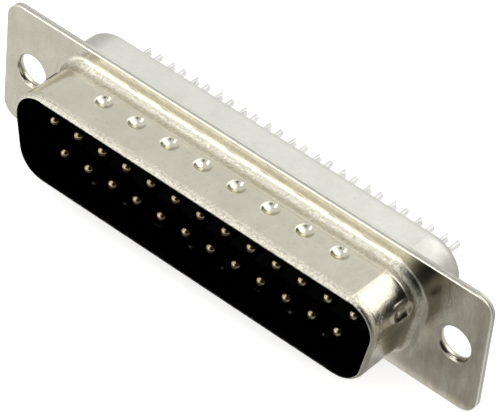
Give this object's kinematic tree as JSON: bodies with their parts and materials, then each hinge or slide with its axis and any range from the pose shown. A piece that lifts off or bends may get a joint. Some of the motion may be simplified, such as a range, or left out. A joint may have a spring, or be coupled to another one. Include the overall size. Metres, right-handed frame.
{
  "type": "d-sub connector",
  "caption": "Male D-subminiature connector with swaged two-part metal shell, black insulators, two rows of pins and solder cups behind.",
  "frame": {"origin": "centre of the D on the front face of the flange, midway between the two mounting holes", "axes": "-Y is the mating direction, out of the mouth; +X along the flange; +Z towards the longer row of contacts and the wide side of the D"},
  "size_m": [0.053, 0.0144, 0.0126],
  "materials": {
    "front_nickel": "satin bright plating, fine matt grain",
    "rear_nickel": "satin bright plating",
    "insulator": "moulded black, matt",
    "contact": "plated, bright"
  },
  "bodies": {
    "root": {"front_shell": "front_nickel", "rear_shell": "rear_nickel", "front_insulator": "insulator", "rear_insulator": "insulator", "contact_01": "contact", "contact_02": "contact", "contact_03": "contact", "contact_04": "contact", "contact_05": "contact", "contact_06": "contact", "contact_07": "contact", "contact_08": "contact", "contact_09": "contact", "contact_10": "contact", "contact_11": "contact", "contact_12": "contact", "contact_13": "contact", "contact_14": "contact", "contact_15": "contact", "contact_16": "contact", "contact_17": "contact", "contact_18": "contact", "contact_19": "contact", "contact_20": "contact", "contact_21": "contact", "contact_22": "contact", "contact_23": "contact", "contact_24": "contact", "contact_25": "contact"}
  },
  "joints": []
}
